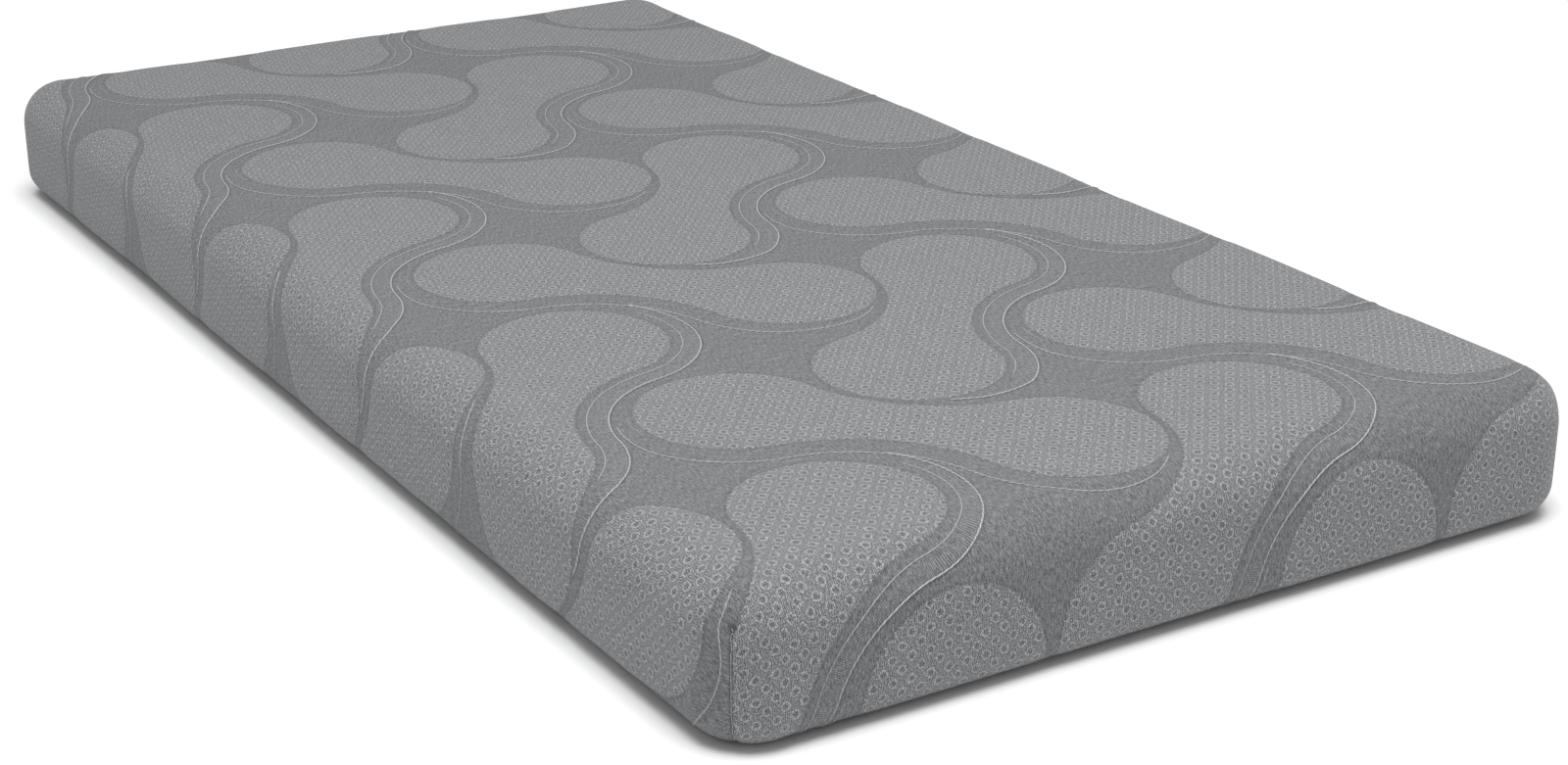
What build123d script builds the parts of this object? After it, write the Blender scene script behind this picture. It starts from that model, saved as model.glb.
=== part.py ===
"""A twin memory foam mattress, 39 x 75 x 6 inches, lying on its base.

Three bonded layers of foam lie in a knitted fire barrier sleeve, inside a removable cover. The cover is
one patterned panel folded down over the sides and sewn up at its four corners, closed underneath by a
plain base panel, and opened by a coil zip along the low part of its right-hand side.

The origin is at the middle of the underside. +X is across the width, towards the zip, +Y is along the
length, towards the head end, and +Z is up. Millimetres.
"""

import os

from build123d import *

os.makedirs("parts", exist_ok=True)

INCH = 25.4
ROOT_HALF = 0.5**0.5

# ---- Driving dimensions ----
width = 39 * INCH
length = 75 * INCH
thickness = 6 * INCH
corner_radius = 60.0
top_edge_radius = 52.0
bottom_edge_radius = 35.0

cover_thickness = 3.0
base_panel_thickness = 1.6
base_panel_inset = 45.0
sleeve_thickness = 1.5
foam_fit = 0.3
side_room = 2.6

memory_foam_height = 2 * INCH
transition_foam_height = 1 * INCH
adhesive_thickness = 0.3
adhesive_inset = 12.0

thread_radius = 0.6
seam_stand_off = 0.1

# ---- Zip ----
zip_length = 1700.0
zip_height = 54.0
zip_slot_height = 12.0
zip_end_room = 6.0
tape_thickness = 0.6
tape_width = 16.0
tape_gap = 2.0
coil_size = 2.4
coil_gap = 1.4
stop_length = 4.0
stitch_radius = 0.4
stitch_offset = 9.0

# ---- Slider and pull tab ----
slider_length = 13.0
slider_wide = 10.0
slider_narrow = 8.0
plate_thickness = 1.1
slider_play = 0.3
slider_rest_gap = 1.5
lip_thickness = 0.8
lip_clearance = 0.4
wedge_thickness = 0.9
wedge_length = 2.5
bridge_length = 7.0
bridge_width = 2.0
bridge_leg = 1.2
bridge_opening = 1.9
bridge_top = 1.0
tab_length = 28.0
tab_width = 8.0
tab_thickness = 1.2
tab_slot_width = 3.2
tab_slot_length = 4.6
eye_bar_radius = 0.65

# ---- Worked out from these ----
wall_x = width / 2
inner_wall_x = wall_x - cover_thickness
tape_back_x = inner_wall_x - tape_thickness
coil_front_x = inner_wall_x + coil_size
plate_back_x = coil_front_x + slider_play
plate_front_x = plate_back_x + plate_thickness
pivot_x = plate_front_x + bridge_opening / 2
slider_y = zip_length / 2 - slider_rest_gap - slider_length / 2

sleeve_inset = cover_thickness + side_room
sleeve_low = cover_thickness + foam_fit
sleeve_high = thickness - cover_thickness - foam_fit
core_inset = sleeve_inset + sleeve_thickness + foam_fit
core_low = sleeve_low + sleeve_thickness + foam_fit
core_high = sleeve_high - sleeve_thickness - foam_fit
memory_low = core_high - memory_foam_height
transition_high = memory_low - adhesive_thickness
transition_low = transition_high - transition_foam_height
support_high = transition_low - adhesive_thickness


def write(part, name):
    """Label one finished piece and write it as its own STEP file."""
    part.label = name
    export_step(part, f"parts/{name}.step")


def rounded_block(inset, low, high):
    """The mattress's own rounded outline, taken in by inset all round, between two heights."""
    with BuildPart() as block:
        with BuildSketch(Plane.XY.offset(low)):
            RectangleRounded(width - 2 * inset, length - 2 * inset, corner_radius - inset)
        extrude(amount=high - low)
        fillet(block.faces().sort_by(Axis.Z)[-1].edges(), top_edge_radius - inset)
        fillet(block.faces().sort_by(Axis.Z)[0].edges(), bottom_edge_radius - inset)
    return block.part


# ---- Foam core: three layers cut from one rounded block ----
core_block = rounded_block(core_inset, core_low, core_high)

with BuildPart() as memory_foam_layer:
    add(core_block)
    split(bisect_by=Plane.XY.offset(memory_low), keep=Keep.TOP)
write(memory_foam_layer.part, "memory_foam_layer")

with BuildPart() as transition_foam_layer:
    add(core_block)
    split(bisect_by=Plane.XY.offset(transition_high), keep=Keep.BOTTOM)
    split(bisect_by=Plane.XY.offset(transition_low), keep=Keep.TOP)
write(transition_foam_layer.part, "transition_foam_layer")

with BuildPart() as support_foam_core:
    add(core_block)
    split(bisect_by=Plane.XY.offset(support_high), keep=Keep.BOTTOM)
write(support_foam_core.part, "support_foam_core")

# ---- Adhesive: the cured film between two layers, held back from their edges ----
for film_name, film_low in (("adhesive_film_upper", transition_high), ("adhesive_film_lower", support_high)):
    film_inset = core_inset + adhesive_inset
    with BuildPart() as film:
        with BuildSketch(Plane.XY.offset(film_low)):
            RectangleRounded(width - 2 * film_inset, length - 2 * film_inset, corner_radius - film_inset)
        extrude(amount=adhesive_thickness)
    write(film.part, film_name)

# ---- Fire barrier: a knitted tube drawn over the core and sewn shut across both ends ----
sleeve_outside = rounded_block(sleeve_inset, sleeve_low, sleeve_high)
sleeve_inside = rounded_block(
    sleeve_inset + sleeve_thickness, sleeve_low + sleeve_thickness, sleeve_high - sleeve_thickness
)
with BuildPart() as fire_barrier_sleeve:
    add(sleeve_outside)
    add(sleeve_inside, mode=Mode.SUBTRACT)
write(fire_barrier_sleeve.part, "fire_barrier_sleeve")

sleeve_seam_length = width - 2 * corner_radius - 50
sleeve_seam_height = 4.0
sleeve_seam_depth = 1.6
sleeve_seam_z = 62.0
for seam_name, end in (("sleeve_seam_head", 1), ("sleeve_seam_foot", -1)):
    seam_plane = Plane(
        origin=(0, end * (length / 2 - sleeve_inset), sleeve_seam_z), x_dir=(1, 0, 0), z_dir=(0, end, 0)
    )
    with BuildPart() as sleeve_seam:
        with BuildSketch(seam_plane):
            SlotOverall(sleeve_seam_length, sleeve_seam_height)
        extrude(amount=sleeve_seam_depth)
    write(sleeve_seam.part, seam_name)

# ---- Cover: the patterned panel over the top and sides, hemmed under the bottom edge ----
cover_outside = rounded_block(0, 0, thickness)
cover_inside = rounded_block(cover_thickness, cover_thickness, thickness - cover_thickness)
base_corner = corner_radius - base_panel_inset
base_width = width - 2 * base_panel_inset
base_length = length - 2 * base_panel_inset

with BuildPart() as cover_top_panel:
    add(cover_outside)
    add(cover_inside, mode=Mode.SUBTRACT)
    with BuildSketch():
        RectangleRounded(base_width, base_length, base_corner)
    extrude(amount=cover_thickness, mode=Mode.SUBTRACT)
    with BuildSketch(Plane.YZ.offset(inner_wall_x - 1)):
        with Locations((0, zip_height)):
            SlotOverall(zip_length + 2 * zip_end_room, zip_slot_height)
    extrude(amount=cover_thickness + 2, mode=Mode.SUBTRACT)
write(cover_top_panel.part, "cover_top_panel")

with BuildPart() as cover_base_panel:
    with BuildSketch():
        RectangleRounded(base_width, base_length, base_corner)
    extrude(amount=base_panel_thickness)
write(cover_base_panel.part, "cover_base_panel")

# ---- Overlock thread that joins the base panel to the hem, on the inside ----
overlock_width = 5.0
with BuildPart() as base_seam_overlock:
    with BuildSketch(Plane.XY.offset(base_panel_thickness)):
        RectangleRounded(base_width, base_length, base_corner)
        RectangleRounded(
            base_width - 2 * overlock_width,
            base_length - 2 * overlock_width,
            base_corner - overlock_width,
            mode=Mode.SUBTRACT,
        )
    extrude(amount=cover_thickness - base_panel_thickness)
write(base_seam_overlock.part, "base_seam_overlock")

# ---- Corner seams: the thread that closes the fold of the panel at each upright corner ----
seam_reach = thread_radius + seam_stand_off
seam_foot_angle = 50
seam_head_angle = 24
for seam_name, side_x, side_y in (
    ("corner_seam_foot_left", -1, -1),
    ("corner_seam_foot_right", 1, -1),
    ("corner_seam_head_left", -1, 1),
    ("corner_seam_head_right", 1, 1),
):
    outward = (side_x * ROOT_HALF, side_y * ROOT_HALF, 0)
    corner_plane = Plane(
        origin=(side_x * (width / 2 - corner_radius), side_y * (length / 2 - corner_radius), 0),
        x_dir=outward,
        z_dir=(outward[1], -outward[0], 0),
    )
    with BuildPart() as corner_seam:
        with BuildLine(corner_plane) as seam_path:
            foot_arc = CenterArc(
                (corner_radius - bottom_edge_radius, bottom_edge_radius),
                bottom_edge_radius + seam_reach,
                -seam_foot_angle,
                seam_foot_angle,
            )
            upright = Line(
                (corner_radius + seam_reach, bottom_edge_radius),
                (corner_radius + seam_reach, thickness - top_edge_radius),
            )
            CenterArc(
                (corner_radius - top_edge_radius, thickness - top_edge_radius),
                top_edge_radius + seam_reach,
                0,
                seam_head_angle,
            )
        with BuildSketch(Plane(origin=seam_path.line @ 0, z_dir=seam_path.line % 0)):
            Circle(thread_radius)
        sweep(path=seam_path.line)
    write(corner_seam.part, seam_name)

# ---- Zip tapes: woven strips sewn behind the two edges of the slot ----
for tape_name, side in (("zipper_tape_upper", 1), ("zipper_tape_lower", -1)):
    tape_z = zip_height + side * (tape_gap + tape_width) / 2
    with BuildPart() as zipper_tape:
        with Locations(((tape_back_x + inner_wall_x) / 2, 0, tape_z)):
            Box(tape_thickness, zip_length + 2 * zip_end_room, tape_width)
    write(zipper_tape.part, tape_name)

# ---- Zip coils: the toothed edge of each tape ----
for coil_name, side in (("zipper_coil_upper", 1), ("zipper_coil_lower", -1)):
    with BuildPart() as zipper_coil:
        with BuildSketch(Plane.XZ.offset(-zip_length / 2)):
            with Locations((inner_wall_x + coil_size / 2, zip_height + side * (coil_gap + coil_size) / 2)):
                RectangleRounded(coil_size, coil_size, coil_size / 4)
        extrude(amount=zip_length)
    write(zipper_coil.part, coil_name)

# ---- Zip stops: two clamps where the zip is closed, one bridge where it starts ----
stop_depth = coil_size + 0.4
stop_y = (zip_length + stop_length) / 2
stop_x = inner_wall_x + stop_depth / 2
with BuildPart() as zipper_top_stops:
    for side in (1, -1):
        with Locations((stop_x, stop_y, zip_height + side * (coil_gap + coil_size) / 2)):
            stop = Box(stop_depth, stop_length, coil_size)
        fillet(stop.edges().filter_by(Axis.Y), 0.6)
write(zipper_top_stops.part, "zipper_top_stops")

with BuildPart() as zipper_bottom_stop:
    with Locations((stop_x, -stop_y, zip_height)):
        Box(stop_depth, stop_length, coil_gap + 2 * coil_size)
    fillet(zipper_bottom_stop.edges().filter_by(Axis.Y), 0.6)
write(zipper_bottom_stop.part, "zipper_bottom_stop")

# ---- Zip stitching: one row of thread along each edge of the slot ----
with BuildPart() as zipper_stitching:
    for side in (1, -1):
        with Locations((wall_x + stitch_radius, 0, zip_height + side * stitch_offset)):
            Cylinder(stitch_radius, zip_length, rotation=(90, 0, 0))
write(zipper_stitching.part, "zipper_stitching")


# ---- Slider: two plates joined by a wedge, with lips round the coils and a bridge for the pull ----
# Seen along X the plate is wide where the open rows enter and narrow where they leave.
plate_taper = 3.0
plate_chamfer = 1.5
plate_points = (
    (-slider_length / 2, -slider_narrow / 2),
    (slider_length / 2 - plate_taper, -slider_wide / 2),
    (slider_length / 2, -slider_wide / 2 + plate_chamfer),
    (slider_length / 2, slider_wide / 2 - plate_chamfer),
    (slider_length / 2 - plate_taper, slider_wide / 2),
    (-slider_length / 2, slider_narrow / 2),
)


def slider_plane(x):
    """An upright plane at x, with its middle on the slider's own: local X runs along the zip."""
    return Plane(origin=(x, slider_y, zip_height), x_dir=(0, 1, 0), z_dir=(1, 0, 0))


back_plate_x = tape_back_x - slider_play - plate_thickness
lip_middle = coil_gap / 2 + coil_size + lip_clearance + lip_thickness / 2
lip_reach = plate_back_x - inner_wall_x - slider_play

with BuildPart() as zipper_slider:
    for plate_x in (plate_back_x, back_plate_x):
        with BuildSketch(slider_plane(plate_x)):
            Polygon(*plate_points, align=None)
        extrude(amount=plate_thickness)
    fillet(zipper_slider.edges().filter_by(Axis.X), 0.8)
    with BuildSketch(slider_plane(plate_back_x)):
        with Locations((0, lip_middle), (0, -lip_middle)):
            Rectangle(slider_length - 4, lip_thickness)
    extrude(amount=-lip_reach)
    with BuildSketch(slider_plane(back_plate_x)):
        with Locations((slider_length / 2 - wedge_length, 0)):
            Rectangle(wedge_length, wedge_thickness)
    extrude(amount=plate_front_x - back_plate_x)
    bridge_height = bridge_opening + bridge_top
    with Locations((plate_front_x + bridge_height / 2, slider_y, zip_height)):
        Box(bridge_height, bridge_length, bridge_width)
    fillet(zipper_slider.faces().sort_by(Axis.X)[-1].edges().filter_by(Axis.Z), bridge_top)
    with Locations((pivot_x, slider_y, zip_height)):
        Box(bridge_opening, bridge_length - 2 * bridge_leg, bridge_width, mode=Mode.SUBTRACT)
write(zipper_slider.part, "zipper_slider")

# ---- Pull tab: a flat tab whose eye bar turns under the slider's bridge ----
tab_end_radius = tab_width / 2
tab_slot_end = eye_bar_radius + tab_slot_length
eye_bar_length = tab_slot_width + 1
with BuildPart() as zipper_pull_tab:
    with BuildSketch(slider_plane(pivot_x - tab_thickness / 2)):
        with Locations((-(tab_length / 2 - eye_bar_radius), 0)):
            RectangleRounded(tab_length, tab_width, tab_end_radius - 0.6)
        with Locations((-tab_slot_end / 2, 0)):
            Rectangle(tab_slot_end + 2 * eye_bar_radius, tab_slot_width, mode=Mode.SUBTRACT)
        with Locations((-tab_length + tab_end_radius + 1.5, 0)):
            Circle(1.6, mode=Mode.SUBTRACT)
    extrude(amount=tab_thickness)
    with Locations((pivot_x, slider_y, zip_height)):
        Cylinder(eye_bar_radius, eye_bar_length)
write(zipper_pull_tab.part, "zipper_pull_tab")

# ---- Law label: a blank woven label sewn by its upper edge to the head end ----
label_width = 64.0
label_height = 46.0
label_thickness = 0.4
label_x = 250.0
label_low = 42.0
label_gap = 0.1
label_y = length / 2 + label_gap
label_plane = Plane(origin=(label_x, label_y, label_low + label_height / 2), x_dir=(1, 0, 0), z_dir=(0, 1, 0))
with BuildPart() as law_label:
    with BuildSketch(label_plane):
        RectangleRounded(label_width, label_height, 1.5)
    extrude(amount=label_thickness)
write(law_label.part, "law_label")

with BuildPart() as label_stitching:
    with Locations((label_x, label_y + label_thickness + stitch_radius, label_low + label_height - 4)):
        Cylinder(stitch_radius, label_width - 4, rotation=(0, 90, 0))
write(label_stitching.part, "label_stitching")
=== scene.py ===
import math

import bpy
import numpy as np
from mathutils import Matrix, Vector
from mathutils.bvhtree import BVHTree
from mathutils.geometry import barycentric_transform


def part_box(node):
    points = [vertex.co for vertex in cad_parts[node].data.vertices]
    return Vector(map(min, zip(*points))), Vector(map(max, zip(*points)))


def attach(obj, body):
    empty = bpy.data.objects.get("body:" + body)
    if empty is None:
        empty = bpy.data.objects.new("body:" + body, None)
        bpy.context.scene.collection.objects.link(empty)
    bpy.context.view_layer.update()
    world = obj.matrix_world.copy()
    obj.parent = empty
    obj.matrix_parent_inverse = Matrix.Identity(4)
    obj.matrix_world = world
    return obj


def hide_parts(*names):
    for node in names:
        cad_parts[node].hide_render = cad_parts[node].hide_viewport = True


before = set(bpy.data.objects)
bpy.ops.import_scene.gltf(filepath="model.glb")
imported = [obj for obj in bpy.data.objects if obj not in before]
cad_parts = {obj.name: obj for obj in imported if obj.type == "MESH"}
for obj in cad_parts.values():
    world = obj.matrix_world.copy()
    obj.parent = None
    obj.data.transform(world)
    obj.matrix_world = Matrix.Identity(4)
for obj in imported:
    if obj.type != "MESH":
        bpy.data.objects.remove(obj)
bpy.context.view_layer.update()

MM = 0.001

# ---- Foam core ----
# Three slabs of polyurethane foam, cut from a block and bonded into one core: slow memory foam on top, a
# softer transition layer, and a firm support layer below. Their skins are cut faces with open pores.
foam_layers = (
    ("memory_foam_layer", "memory_foam", (0.72, 0.76, 0.80), 1.6),
    ("transition_foam_layer", "transition_foam", (0.36, 0.47, 0.60), 2.2),
    ("support_foam_core", "support_foam", (0.80, 0.78, 0.73), 2.8),
)


class Reading:
    """A shader socket that sums can be written on."""

    def __init__(self, finish, socket):
        self.finish = finish
        self.socket = socket

    def reckon(self, operation, first, second=0.0):
        return self.finish.node("Math", {"operation": operation}, {0: first, 1: second})

    def __add__(self, other):
        return self.reckon("ADD", self, other)

    def __radd__(self, other):
        return self.reckon("ADD", other, self)

    def __sub__(self, other):
        return self.reckon("SUBTRACT", self, other)

    def __rsub__(self, other):
        return self.reckon("SUBTRACT", other, self)

    def __mul__(self, other):
        return self.reckon("MULTIPLY", self, other)

    def __rmul__(self, other):
        return self.reckon("MULTIPLY", other, self)


class Finish:
    """A material while it is written: node adds any node, with its settings first and then its sockets."""

    def __init__(self, name, **constants):
        self.material = bpy.data.materials.new(name)
        self.material.use_nodes = True
        self.tree = self.material.node_tree
        self.shader = self.tree.nodes["Principled BSDF"]
        for socket, value in constants.items():
            self.shader.inputs[socket.replace("_", " ")].default_value = value

    def node(self, kind, settings=(), sockets=(), output=0):
        made = self.tree.nodes.new("ShaderNode" + kind)
        for name, value in dict(settings).items():
            if name == "stops":
                for position, grey in value:
                    made.color_ramp.elements.new(position).color = (grey, grey, grey, 1)
                made.color_ramp.elements.remove(made.color_ramp.elements[0])
                made.color_ramp.elements.remove(made.color_ramp.elements[-1])
            else:
                setattr(made, name, value)
        for name, value in dict(sockets).items():
            self.join(value, made.inputs[name])
        return Reading(self, made.outputs[output])

    def join(self, value, socket):
        if isinstance(value, Reading):
            self.tree.links.new(value.socket, socket)
        else:
            socket.default_value = value

    def sums(self, operation, value):
        """One value put through a Math operation, such as ABSOLUTE or SINE."""
        return self.node("Math", {"operation": operation}, {0: value})

    def vector(self, operation, *values, output="Vector"):
        """Vectors put through a Vector Math operation, one after another."""
        return self.node("VectorMath", {"operation": operation}, dict(enumerate(values)), output)

    def part_of(self, vector, axis):
        """A vector's X, Y or Z."""
        return self.node("SeparateXYZ", {}, {0: vector}, axis)

    def ripple(self, place, direction, pitch):
        """Even waves along one axis, a pitch apart in metres, as ribs and yarns lie."""
        return self.node("TexWave", {"bands_direction": direction}, {"Vector": place, "Scale": 0.314 / pitch})

    def place(self):
        """Object coordinates, which are the part's own frame in metres."""
        return self.node("TexCoord", output="Object")

    def stretched(self, place, scale):
        """A place with each of its axes scaled, so that a pattern runs longer along one of them."""
        return self.vector("MULTIPLY", place, scale)

    def noise(self, place, scale, detail=2.0, roughness=0.5):
        sockets = {"Vector": place, "Scale": scale, "Detail": detail, "Roughness": roughness}
        return self.node("TexNoise", {"noise_dimensions": "3D"}, sockets)

    def step(self, value, low, high):
        """0 below low and 1 above high, smooth between them."""
        settings = {"interpolation_type": "SMOOTHSTEP"}
        return self.node("MapRange", settings, {"Value": value, "From Min": low, "From Max": high})

    def mixed(self, share, first, second):
        """One colour turning into another as share goes from 0 to 1."""
        sockets = {0: share, 6: (*first, 1) if isinstance(first, tuple) else first}
        sockets[7] = (*second, 1) if isinstance(second, tuple) else second
        return self.node("Mix", {"data_type": "RGBA"}, sockets, 2)

    def done(self, colour, roughness, height, depth, strength=1.0):
        """Joins colour, roughness and a height from 0 to 1, depth metres deep, and closes the material."""
        self.join(colour, self.shader.inputs["Base Color"])
        self.join(roughness, self.shader.inputs["Roughness"])
        bump = self.node("Bump", {}, {"Height": height, "Distance": depth, "Strength": strength})
        self.join(bump, self.shader.inputs["Normal"])
        return self.material


def foam_finish(name, colour, pore):
    """Cut open-cell foam: round pores a millimetre or two across, and a faint unevenness of dye."""
    finish = Finish(name, Specular_IOR_Level=0.2, Sheen_Weight=0.15)
    place = finish.place()
    cells = finish.node("TexVoronoi", {"feature": "F1"}, {"Vector": place, "Scale": 1 / (pore * MM)})
    pores = finish.step(cells, 0.15, 0.55)
    cloud = finish.noise(place, 9.0)
    dark = tuple(0.72 * channel for channel in colour)
    shade = finish.mixed(pores * 0.6 + cloud * 0.4, dark, colour)
    return finish.done(shade, 0.85 + cloud * 0.1, pores, 0.6 * MM)


def dress(piece, material, body, slot, *nodes):
    """Gives a finished piece its material and its body, and hides the CAD nodes that it stands for; slot is
    not used.
    """
    piece.data.materials.clear()
    piece.data.materials.append(material)
    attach(piece, body)
    if nodes:
        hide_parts(*nodes)


def only(piece):
    """Makes this the one selected, active object."""
    bpy.ops.object.select_all(action="DESELECT")
    piece.select_set(True)
    bpy.context.view_layer.objects.active = piece


def copied(node, name):
    """A new piece on a node's own shape, with its loose triangles merged."""
    piece = bpy.data.objects.new(name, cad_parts[node].data.copy())
    bpy.context.scene.collection.objects.link(piece)
    only(piece)
    bpy.ops.object.mode_set(mode="EDIT")
    bpy.ops.mesh.select_all(action="SELECT")
    bpy.ops.mesh.remove_doubles(threshold=0.01 * MM)
    bpy.ops.mesh.normals_make_consistent(inside=False)
    bpy.ops.object.mode_set(mode="OBJECT")
    return piece


for node, slot, colour, pore in foam_layers:
    slab = copied(node, node + "_slab")
    bpy.ops.object.shade_smooth_by_angle(angle=math.radians(35))
    dress(slab, foam_finish(slot, colour, pore), "mattress", slot, node)

# ---- Adhesive films ----
# Water-based foam glue, sprayed in overlapping fans and pressed between two slabs. It cures to a thin, soft,
# slightly yellow film with denser patches where the fans cross.
finish = Finish("foam_adhesive", Specular_IOR_Level=0.35)
place = finish.place()
fans = finish.node("TexWave", {"bands_direction": "Y"}, {"Vector": place, "Scale": 2.2, "Distortion": 1.5})
specks = finish.noise(place, 420.0)
cured = finish.mixed(fans * 0.5 + specks * 0.5, (0.66, 0.60, 0.42), (0.84, 0.80, 0.66))
adhesive = finish.done(cured, 0.45 + specks * 0.3, specks, 0.2 * MM)


def refinish(material, *nodes):
    """Gives CAD nodes whose shape stays as it is a better material."""
    for node in nodes:
        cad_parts[node].data.materials.clear()
        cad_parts[node].data.materials.append(material)


refinish(adhesive, "adhesive_film_upper", "adhesive_film_lower")

# ---- Fire barrier sleeve ----
# A tube of off-white rib knit in treated rayon yarn, drawn over the core like a stocking, with each end
# closed by an overlocked seam. Its ribs run along the mattress.
rib_pitch = 3.2 * MM
finish = Finish("sleeve_knit", Specular_IOR_Level=0.15, Sheen_Weight=0.3)
place = finish.place()
ribs = finish.ripple(place, "X", rib_pitch)
yarn = finish.noise(finish.stretched(place, (1.0, 3.0, 1.0)), 700.0)
knit = finish.mixed(ribs * 0.7 + yarn * 0.3, (0.62, 0.61, 0.57), (0.80, 0.79, 0.76))
sleeve_material = finish.done(knit, 0.9, ribs * 0.7 + yarn * 0.3, 0.5 * MM)
sleeve = copied("fire_barrier_sleeve", "fire_barrier_stocking")
bpy.ops.object.shade_smooth()
dress(sleeve, sleeve_material, "mattress", "sleeve_knit", "fire_barrier_sleeve")


def thread_finish(name, colour, twist=1.1):
    """Spun yarn or sewing thread: two plies that cross every twist millimetres, and fine stray fibres."""
    finish = Finish(name, Specular_IOR_Level=0.3, Sheen_Weight=0.2)
    place = finish.place()
    plies = finish.step(finish.noise(place, 1 / (twist * MM), 1.0), 0.38, 0.62)
    fibres = finish.noise(place, 3600.0, 1.0)
    dark = tuple(0.5 * channel for channel in colour)
    shade = finish.mixed(plies * 0.8 + fibres * 0.2, dark, colour)
    return finish.done(shade, 0.8, plies * 0.7 + fibres * 0.3, 0.25 * MM)


white_thread = thread_finish("white_thread", (0.74, 0.74, 0.72))
refinish(white_thread, "sleeve_seam_head", "sleeve_seam_foot")

# ---- Cover: the block ----
# One panel of thick double-knit jacquard is folded down over the top and all four sides, darted at the
# corners and hemmed underneath. It is drawn tight over the foam, so that it takes the foam's rounded shape.
half_width, half_length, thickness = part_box("cover_top_panel")[1]
corner_radius = 60 * MM
top_radius = 52 * MM
foot_radius = 35 * MM
hem_width = 45 * MM
panel_low, panel_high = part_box("cover_base_panel")
grain = 5.8 * MM

block_size = (2 * half_width, 2 * half_length, thickness)
bpy.ops.object.select_all(action="DESELECT")
bpy.ops.mesh.primitive_cube_add(size=1, location=(0, 0, thickness / 2), scale=block_size)
cover = bpy.context.object
cover.name = "quilted_cover"
bpy.ops.object.transform_apply(location=True, rotation=True, scale=True)


def choose(piece, kind, test):
    """Selects, in edit mode, the faces or edges whose middle passes the test."""
    mesh = piece.data
    bpy.ops.object.mode_set(mode="OBJECT")
    places = np.empty(len(mesh.vertices) * 3)
    mesh.vertices.foreach_get("co", places)
    places = places.reshape(-1, 3)
    for parts in (mesh.vertices, mesh.edges, mesh.polygons):
        parts.foreach_set("select", np.zeros(len(parts), bool))
    if kind == "FACE":
        middles = np.empty(len(mesh.polygons) * 3)
        mesh.polygons.foreach_get("center", middles)
        mesh.polygons.foreach_set("select", test(*middles.reshape(-1, 3).T))
    else:
        ends = np.empty(len(mesh.edges) * 2, int)
        mesh.edges.foreach_get("vertices", ends)
        mesh.edges.foreach_set("select", test(*places[ends.reshape(-1, 2)].mean(1).T))
    bpy.context.tool_settings.mesh_select_mode = (False, kind == "EDGE", kind == "FACE")
    bpy.ops.object.mode_set(mode="EDIT")


tiny = 0.01 * MM
choose(cover, "EDGE", lambda x, y, z: abs(z - thickness / 2) < tiny)
bpy.ops.mesh.bevel(offset=corner_radius, segments=12, affect="EDGES")
choose(cover, "EDGE", lambda x, y, z: z > thickness - tiny)
bpy.ops.mesh.bevel(offset=top_radius, segments=12, affect="EDGES")
choose(cover, "EDGE", lambda x, y, z: z < tiny)
bpy.ops.mesh.bevel(offset=foot_radius, segments=8, affect="EDGES")
bpy.ops.object.mode_set(mode="OBJECT")
cloth = cover.modifiers.new("cloth", "REMESH")
cloth.mode = "VOXEL"
cloth.voxel_size = grain
bpy.ops.object.modifier_apply(modifier="cloth")

# The underside is opened inside the hem, and the corners are cut along their darts.
hem_x = half_width - hem_width
hem_y = half_length - hem_width
for side in (1, -1):
    choose(cover, "FACE", lambda x, y, z: z < 4 * MM)
    bpy.ops.mesh.bisect(plane_co=(side * hem_x, 0, 0), plane_no=(1, 0, 0))
    choose(cover, "FACE", lambda x, y, z: z < 4 * MM)
    bpy.ops.mesh.bisect(plane_co=(0, side * hem_y, 0), plane_no=(0, 1, 0))
choose(cover, "FACE", lambda x, y, z: (z < 4 * MM) & (abs(x) < hem_x) & (abs(y) < hem_y))
bpy.ops.mesh.delete(type="FACE")

core_x = half_width - corner_radius
core_y = half_length - corner_radius
for side_x in (1, -1):
    for side_y in (1, -1):
        choose(cover, "FACE", lambda x, y, z: (side_x * x > core_x) & (side_y * y > core_y))
        bpy.ops.mesh.bisect(plane_co=(side_x * core_x, side_y * core_y, 0), plane_no=(side_x, -side_y, 0))

# The zip's slot is marked out along the low part of the right-hand side.
slot_z = (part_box("zipper_coil_lower")[0].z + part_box("zipper_coil_upper")[1].z) / 2
slot_half = 6 * MM
slot_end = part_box("zipper_tape_lower")[1].y
lip = 1.4 * MM
marked_height = 30 * MM
zip_wall = half_width - 8 * MM
for rise in (slot_half, slot_half + lip, -slot_half, -slot_half - lip):
    choose(cover, "FACE", lambda x, y, z: (x > zip_wall) & (abs(z - slot_z) < marked_height))
    bpy.ops.mesh.bisect(plane_co=(half_width, 0, slot_z + rise), plane_no=(0, 0, 1))
for end in (slot_end, -slot_end):
    choose(cover, "FACE", lambda x, y, z: (x > zip_wall) & (abs(z - slot_z) < marked_height))
    bpy.ops.mesh.bisect(plane_co=(half_width, end, slot_z), plane_no=(0, 1, 0))
bpy.ops.object.mode_set(mode="OBJECT")

# ---- Cover: where each point of the folded panel lies on the flat cloth ----
# The panel is cut flat, so its pattern runs straight on over every edge. At a corner the cloth is eased
# round the top, and from the head of the dart down each side keeps its own run of pattern.
flat_start = corner_radius - top_radius
arc_run = top_radius * math.pi / 2
wall_run = thickness - top_radius - foot_radius
foot_run = foot_radius * math.pi / 2
whole_run = arc_run + wall_run + foot_run
dart_head = 64 * MM
dart_width = (flat_start + dart_head) * math.cos(math.pi / 4)
cloth_turn = math.radians(1.25)


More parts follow.
